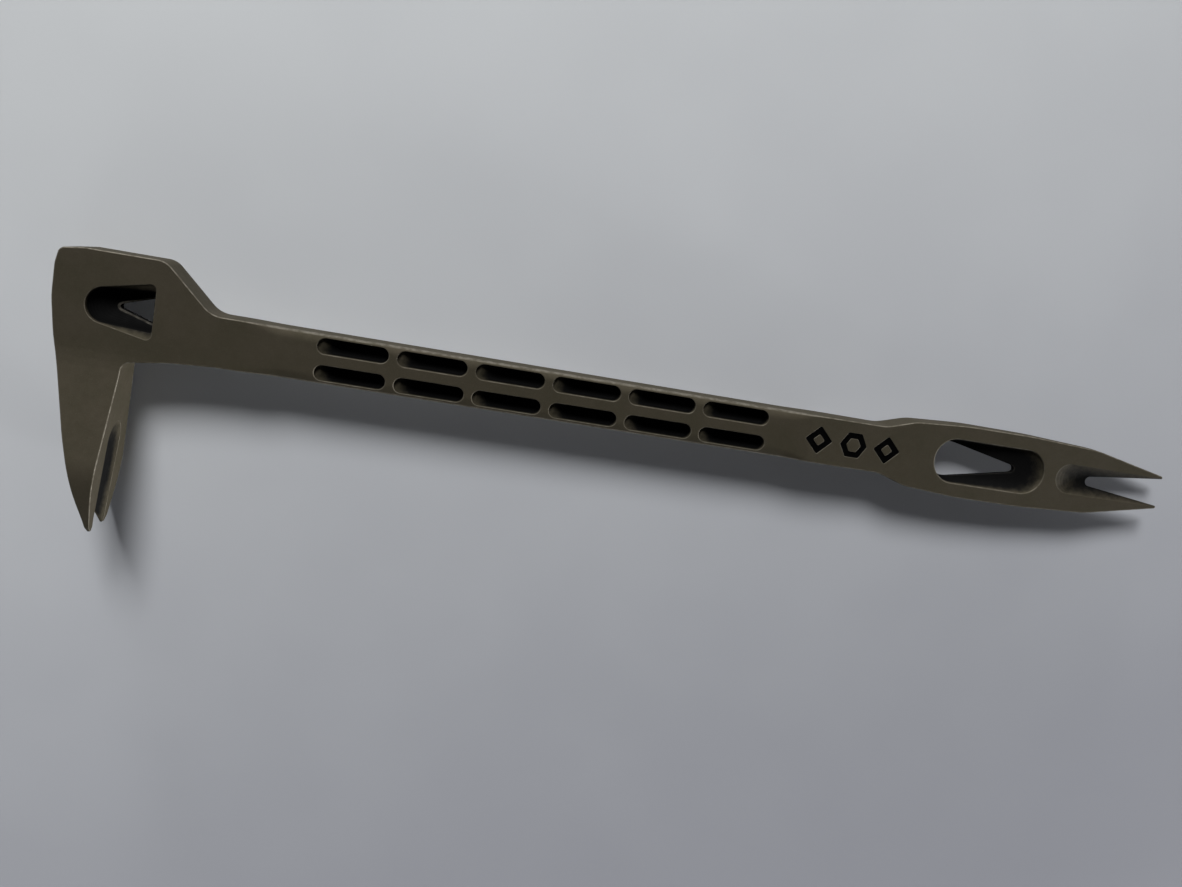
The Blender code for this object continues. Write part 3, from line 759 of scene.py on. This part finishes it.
def mark_stroke(sides):
    """Difference between the radii of a mark's outer and inner outlines."""
    return MARK_STROKE / math.cos(math.pi / sides)


def make_panel():
    skin = Skin("nail_puller_panel")
    rims = [outer_stack(skin, strip_paths(PANEL_START, BLADE_START, 1.0), STRIP_ENDS)]
    for _, x, sides in MARKS:
        outer = mark_outline(x, sides, MARK_RADIUS)
        island = mark_outline(x, sides, MARK_RADIUS - mark_stroke(sides))[::-1]
        floor = []
        for outline in (outer, island):
            rings = hole_break(outline, MARK_BREAK)
            rings.append(lifted(outline, face_z(outline) - MARK_DEPTH))
            made = skin.stack(rings, EDGE_WEAR_AND_HIGHLIGHT + [0.0], first=upward(face_z, rings[0]))
            rims.append(((rings[0], made[0]), None))
            floor.append((rings[-1], made[-1]))
        skin.fill(floor)
    close(skin, rims, grid_of(PANEL_START + 0.5, 206.0, -5.6, 5.7, 0.8))
    return skin.build(titanium)


def make_enamel(mark, x, sides):
    """The enamel in one mark: fills the recess, and sags a little between its walls."""
    skin = Skin(f"mark_{mark}_enamel_fill")
    outer = mark_outline(x, sides, MARK_RADIUS)
    inner = mark_outline(x, sides, MARK_RADIUS - mark_stroke(sides))
    rings = []
    for s in np.linspace(*ENAMEL_ENDS, 9):
        xy = outer + (inner - outer) * s
        sag = ENAMEL_SAG * (1 - (2 * s - 1) ** 2)
        rings.append(lifted(xy, face_z(xy) - ENAMEL_DROP - sag))
    for ring in (rings[-1], rings[0]):
        rings.append(lifted(ring[:, :2], face_z(ring) - ENAMEL_FLOOR))
    made = skin.stack(rings, [0.0] * len(rings))
    skin.join(made[-1], made[0])
    return skin.build(enamel)


def make_blade():
    skin = Skin("nail_puller_tail_blade")
    outer = outer_stack(skin, strip_paths(BLADE_START, FORK_START, 1.5), STRIP_ENDS)
    hole = slot_outline(*SLOT_HOLE)
    rings = hole_break(slot_outline(*SLOT_RIM), SLOT_BREAK)
    rings += loft(rings[-1], lifted(hole, SLOT_WEB), SLOT_PASSES, 0.85)
    rings += [lifted(hole, SLOT_WEB - 0.1)]
    # edge lightening at the slot's hole: rubbed wear and painted highlight, less at the hole
    wear_and_highlight = HOLE_WEAR_AND_HIGHLIGHT + [0.0] * (SLOT_PASSES - 1) + [0.35, 0.1]
    ridge = ridges(len(EDGE_WEAR_AND_HIGHLIGHT), SLOT_PASSES, 1)
    # hollow: painted shade in the slot's hollow, by its depth
    slot = through_stack(skin, rings, wear_and_highlight, ridge=ridge, hollow=sunk(rings))
    close(skin, (outer, slot))
    return skin.build(titanium)


def make_fork():
    """The tail claw: two prongs round a V, with a scoop that leads into it on each face."""
    skin = Skin("nail_puller_tail_claw")
    side = with_steps(between(SIDE_EDGE, FORK_START, LENGTH), 1.0) * (1, -1)
    centre, radius = FORK_APEX
    lean = math.atan2(FORK_MOUTH, LENGTH - centre)
    lean += math.asin(radius / math.hypot(LENGTH - centre, FORK_MOUTH))
    vee = arc((centre, 0), radius, -math.pi / 2 - lean / 2, -math.pi, 20)
    vee = resample(np.vstack([[(LENGTH, -FORK_MOUTH)], vee]), 45)
    notch = np.vstack([vee, vee[-2::-1] * (1, -1)])
    path = np.vstack([side, notch, side[::-1] * (1, -1)])
    upper = plate_rings(path, outward(path, end_axes=(0, 0)))
    walls = [upper[-1] * (1, 1, 1 - k / FORK_PASSES) for k in range(1, FORK_PASSES)]
    centre, radius = FORK_SCOOP
    bend = arc((centre, 0), radius, -math.pi / 2, -math.pi, 30)
    rim = np.vstack([[(LENGTH - EDGE_BREAK, -FORK_MOUTH - 0.12)], bend])
    rim = resample(rim, len(vee))
    rim = np.vstack([rim, rim[-2::-1] * (1, -1)])
    narrow, wide = FORK_BREAK
    width = narrow + (wide - narrow) * ease(-rim[:, 0], 10 - LENGTH, 22 - LENGTH)
    rim_rings = edge_rings(rim, outward(rim), face_z, width, width / 2)
    scoop = rim_rings + loft(rim_rings[-1], lifted(notch, FORK_WEB), FORK_PASSES - 1, 0.15)
    first = len(side)
    rings = [ring.copy() for ring in upper + walls]
    for ring, part in zip(rings, scoop):
        ring[first : first + len(notch)] = part
    runs = ((0, first), (first, first + len(notch)), (first + len(notch), len(path)))
    on_notch = np.zeros(len(path))
    on_notch[first : first + len(notch)] = 1
    # the scoop's rim gets little of the edges' rubbed wear and painted highlight
    wear_and_highlight = [worn_and_lit * (1 - 0.9 * on_notch) for worn_and_lit in EDGE_WEAR_AND_HIGHLIGHT] + [0.0] * (FORK_PASSES - 1)
    ridge = ridges(len(EDGE_WEAR_AND_HIGHLIGHT), FORK_PASSES - 1, 0)[:, None] * on_notch
    # painted shade in the scoop by its depth, with a share from its rim on
    depth = sunk(rings) * on_notch
    depth = FORK_SHADE * depth + np.minimum(5 * depth, FORK_RIM_PAINTED_SHADE)
    rims = through_stack(skin, rings, wear_and_highlight, ridge=ridge, hollow=depth, runs=runs)
    close(skin, (rims,))
    return skin.build(titanium)


# ---------------------------------------------------------------- finishes


class Nodes:
    """Builds a material's node tree with short calls."""

    def __init__(self, name):
        self.material = bpy.data.materials.new(name)
        self.material.use_nodes = True
        self.tree = self.material.node_tree
        self.shader = self.tree.nodes["Principled BSDF"]
        coordinates = self.tree.nodes.new("ShaderNodeTexCoord")
        self.place = self.node("ShaderNodeVectorMath", operation="SCALE")
        self.link(coordinates.outputs["Object"], self.place.inputs[0])
        self.place.inputs["Scale"].default_value = 1 / MM
        self.place = self.place.outputs[0]

    def node(self, kind, **settings):
        made = self.tree.nodes.new(kind)
        for name, value in settings.items():
            setattr(made, name, value)
        return made

    def link(self, source, target):
        self.tree.links.new(source, target)

    def noise(self, size, detail=2.0, roughness=0.5, place=None):
        """Noise whose cells are about size millimetres, from 0 to 1."""
        made = self.node("ShaderNodeTexNoise")
        made.inputs["Scale"].default_value = 1 / size
        made.inputs["Detail"].default_value = detail
        made.inputs["Roughness"].default_value = roughness
        self.link(place or self.place, made.inputs["Vector"])
        return made.outputs[0]

    def stretched(self, x, y, z):
        """The coordinates scaled, so that noise becomes streaks."""
        made = self.node("ShaderNodeVectorMath", operation="MULTIPLY")
        made.inputs[1].default_value = (x, y, z)
        self.link(self.place, made.inputs[0])
        return made.outputs[0]

    def ramp(self, value, low, high, start=0.0, end=1.0):
        """start below low, end above high, smooth between."""
        made = self.node("ShaderNodeMapRange", interpolation_type="SMOOTHSTEP")
        self.link(value, made.inputs["Value"])
        settings = {"From Min": low, "From Max": high, "To Min": start, "To Max": end}
        for name, number in settings.items():
            made.inputs[name].default_value = number
        return made.outputs[0]

    def math(self, operation, a, b=0.0):
        made = self.node("ShaderNodeMath", operation=operation)
        for socket, value in zip(made.inputs, (a, b)):
            if isinstance(value, float):
                socket.default_value = value
            else:
                self.link(value, socket)
        return made.outputs[0]

    def mix(self, factor, a, b):
        """Colours a and b mixed; each is a tuple or a socket."""
        made = self.node("ShaderNodeMix", data_type="RGBA")
        self.link(factor, made.inputs[0])
        for socket, value in zip((made.inputs[6], made.inputs[7]), (a, b)):
            if isinstance(value, tuple):
                socket.default_value = (*value, 1)
            else:
                self.link(value, socket)
        return made.outputs[2]

    def attribute(self, name):
        return self.node("ShaderNodeAttribute", attribute_name=name).outputs["Fac"]

    def bump(self, height, distance, normal=None):
        """distance is how high a height of 1 stands, in millimetres."""
        made = self.node("ShaderNodeBump")
        made.inputs["Strength"].default_value = 1.0
        made.inputs["Distance"].default_value = distance * MM
        self.link(height, made.inputs["Height"])
        if normal:
            self.link(normal, made.inputs["Normal"])
        return made.outputs[0]


def make_titanium():
    """Bead-blasted titanium: dark and slightly olive, with a fine grain. Edges are painted
    lighter, partly rubbed wear and partly painted highlight, and milled hollows get painted shade
    by their depth."""
    nodes = Nodes("titanium_blasted")
    nodes.shader.inputs["Metallic"].default_value = 0.6
    nodes.shader.inputs["Specular IOR Level"].default_value = 0.15
    cloud = nodes.noise(9.0, 3.0)
    patch = nodes.noise(1.6, 3.0, 0.6)
    grain = nodes.noise(0.22, 2.0, 0.6)
    # Edges are painted lighter: rubbed wear and painted highlight.
    rub_and_highlight = nodes.math("MULTIPLY", nodes.attribute("wear_and_highlight"), nodes.ramp(patch, 0.3, 0.7, 0.35, 1.0))
    # Hollows are painted darker by their depth: painted shade.
    painted_shade = nodes.math("ADD", nodes.attribute("hollow"), nodes.ramp(patch, 0.3, 0.7, -0.15, 0.15))
    colour = nodes.mix(nodes.ramp(cloud, 0.3, 0.7), TITANIUM_DARK, TITANIUM_LIGHT)
    colour = nodes.mix(nodes.ramp(grain, 0.45, 0.8, 0.0, 0.4), colour, TITANIUM_GRAIN)
    colour = nodes.mix(nodes.ramp(painted_shade, 0.1, 1.6), colour, TITANIUM_PAINTED_SHADE)
    colour = nodes.mix(nodes.ramp(rub_and_highlight, 0.0, 1.0, 0.0, 0.6), colour, TITANIUM_RUBBED_AND_HIGHLIGHT)
    nodes.link(colour, nodes.shader.inputs["Base Color"])
    rough = nodes.ramp(patch, 0.25, 0.75, 0.76, 0.84)
    smoother = nodes.ramp(rub_and_highlight, 0.0, 1.0, 0.0, 0.2)
    nodes.link(nodes.math("SUBTRACT", rough, smoother), nodes.shader.inputs["Roughness"])
    streaks = nodes.noise(0.35, 3.0, 0.7, nodes.stretched(0.02, 1.0, 1.0))
    normal = nodes.bump(nodes.attribute("ridge"), 0.02)
    normal = nodes.bump(nodes.ramp(streaks, 0.66, 0.72), -0.003, normal)
    normal = nodes.bump(nodes.noise(1.2, 2.0), 0.012, normal)
    normal = nodes.bump(grain, 0.01, normal)
    nodes.link(normal, nodes.shader.inputs["Normal"])
    return nodes.material


def make_enamel_paint():
    """Black enamel, slightly uneven, with dust in it."""
    nodes = Nodes("enamel_black")
    dust = nodes.ramp(nodes.noise(0.12, 1.0), 0.66, 0.78)
    colour = nodes.mix(dust, (0.001, 0.001, 0.001), (0.006, 0.006, 0.006))
    nodes.link(colour, nodes.shader.inputs["Base Color"])
    wave = nodes.noise(0.8, 2.0)
    nodes.link(nodes.ramp(wave, 0.3, 0.7, 0.3, 0.42), nodes.shader.inputs["Roughness"])
    nodes.shader.inputs["Specular IOR Level"].default_value = 0.05
    nodes.link(nodes.bump(wave, 0.03), nodes.shader.inputs["Normal"])
    return nodes.material


def make_paper_with_painted_light():
    """The floor: pale cool paper, with painted light: lighter towards the back and the left."""
    nodes = Nodes("floor_paper_painted_light")
    split = nodes.node("ShaderNodeSeparateXYZ")
    nodes.link(nodes.place, split.inputs[0])
    lean = nodes.math("MULTIPLY", split.outputs["X"], FLOOR_LEAN)
    back = nodes.math("ADD", split.outputs["Y"], lean)
    cloud = nodes.ramp(nodes.noise(50.0, 2.0), 0.3, 0.7, -8.0, 8.0)
    back = nodes.math("ADD", back, cloud)
    # Painted light: darker towards the front, lighter towards the back and the left.
    colour = nodes.mix(nodes.ramp(back, *FLOOR_BAND), FLOOR_PAINTED_SHADE, FLOOR_PAINTED_LIGHT)
    reach = nodes.node("ShaderNodeVectorMath", operation="LENGTH")
    nodes.link(nodes.place, reach.inputs[0])
    colour = nodes.mix(nodes.ramp(reach.outputs["Value"], *FLOOR_FADE), colour, FLOOR_FLAT)
    nodes.link(colour, nodes.shader.inputs["Base Color"])
    nodes.shader.inputs["Roughness"].default_value = 1.0
    nodes.shader.inputs["Specular IOR Level"].default_value = 0.0
    nodes.link(nodes.bump(nodes.noise(0.6, 2.0), 0.01), nodes.shader.inputs["Normal"])
    return nodes.material


# ---------------------------------------------------------------- studio


def place_row(point):
    """A point given in the tool frame in millimetres, in the row frame in metres."""
    return TOOL_TO_ROW @ (Vector(point) * MM)


def add_camera():
    """The camera, from its place and its axes in the tool frame."""
    data = bpy.data.cameras.new("camera")
    data.sensor_width = 36.0
    data.lens = 36.0 * CAMERA_FOCAL / IMAGE_WIDTH
    data.clip_start = 0.01
    camera = bpy.data.objects.new("camera", data)
    axes = Matrix((CAMERA_RIGHT, CAMERA_UP, CAMERA_BACK)).transposed().to_4x4()
    turn = TOOL_TO_ROW.to_3x3().to_4x4() @ axes
    camera.matrix_world = Matrix.Translation(place_row(CAMERA_PLACE)) @ turn
    bpy.context.scene.collection.objects.link(camera)
    bpy.context.scene.camera = camera


def add_light(name, direction, angle, irradiance):
    """A soft, even light from far away, as from a large diffuser."""
    data = bpy.data.lights.new(name, "SUN")
    data.angle = math.radians(angle)
    data.energy = irradiance
    light = bpy.data.objects.new(name, data)
    light.rotation_euler = Vector(direction).to_track_quat("Z", "Y").to_euler()
    bpy.context.scene.collection.objects.link(light)


def add_world():
    """Dim overhead and brighter towards the horizon, as in a white room with soft boxes."""
    world = bpy.data.worlds.new("studio")
    world.use_nodes = True
    bpy.context.scene.world = world
    tree = world.node_tree
    background = tree.nodes["Background"]
    coordinates = tree.nodes.new("ShaderNodeTexCoord")
    split = tree.nodes.new("ShaderNodeSeparateXYZ")
    height = tree.nodes.new("ShaderNodeMapRange")
    height.interpolation_type = "SMOOTHSTEP"
    height.inputs["From Min"].default_value = SKY_BAND[0]
    height.inputs["From Max"].default_value = SKY_BAND[1]
    mix = tree.nodes.new("ShaderNodeMix")
    mix.data_type = "RGBA"
    mix.inputs[6].default_value = (*SKY_LOW, 1)
    mix.inputs[7].default_value = (*SKY_HIGH, 1)
    tree.links.new(coordinates.outputs["Generated"], split.inputs[0])
    tree.links.new(split.outputs["Z"], height.inputs["Value"])
    tree.links.new(height.outputs[0], mix.inputs[0])
    tree.links.new(mix.outputs[2], background.inputs["Color"])


def add_floor(material):
    mesh = bpy.data.meshes.new("floor")
    half = FLOOR_REACH
    corners = [(-half, -half, 0), (half, -half, 0), (half, half, 0), (-half, half, 0)]
    mesh.from_pydata(corners, [], [(0, 1, 2, 3)])
    mesh.materials.append(material)
    floor = bpy.data.objects.new("floor", mesh)
    bpy.context.scene.collection.objects.link(floor)


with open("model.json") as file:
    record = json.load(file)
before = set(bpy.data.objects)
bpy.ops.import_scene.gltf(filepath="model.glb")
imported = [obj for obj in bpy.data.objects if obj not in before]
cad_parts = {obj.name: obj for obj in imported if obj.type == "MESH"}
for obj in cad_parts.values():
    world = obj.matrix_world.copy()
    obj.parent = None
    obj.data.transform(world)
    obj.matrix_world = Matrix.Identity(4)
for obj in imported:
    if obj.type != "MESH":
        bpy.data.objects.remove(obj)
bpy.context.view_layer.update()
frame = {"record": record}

# The tool frame in the row frame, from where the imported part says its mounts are.
mounts = {mount["name"]: mount for mount in frame["record"]["mounts"]}
tool_x = -Vector(mounts["strike_face_back"]["axis"]).normalized()
tool_z = Vector(mounts["side_face"]["axis"])
tool_z = (tool_z - tool_x * tool_z.dot(tool_x)).normalized()
tool_turn = Matrix((tool_x, tool_z.cross(tool_x), tool_z)).transposed()
tool_origin = Vector(mounts["strike_face_back"]["pos_m"]) - tool_turn @ Vector(STRIKE_MOUNT) * MM
TOOL_TO_ROW = Matrix.Translation(tool_origin) @ tool_turn.to_4x4()

titanium = make_titanium()
enamel = make_enamel_paint()
zones = {
    "head": make_head,
    "head_claw": make_claw,
    "neck": make_neck,
    "shaft": make_shaft,
    "panel": make_panel,
    "tail_blade": make_blade,
    "tail_claw": make_fork,
}
for node, make_zone in zones.items():
    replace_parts(make_zone(), node)
for mark, mark_x, mark_sides in MARKS:
    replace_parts(make_enamel(mark, mark_x, mark_sides), f"mark_{mark}_enamel")

add_floor(make_paper_with_painted_light())
add_world()
for light in LIGHTS:
    add_light(*light)
add_camera()
bpy.context.scene.view_settings.view_transform = "Standard"
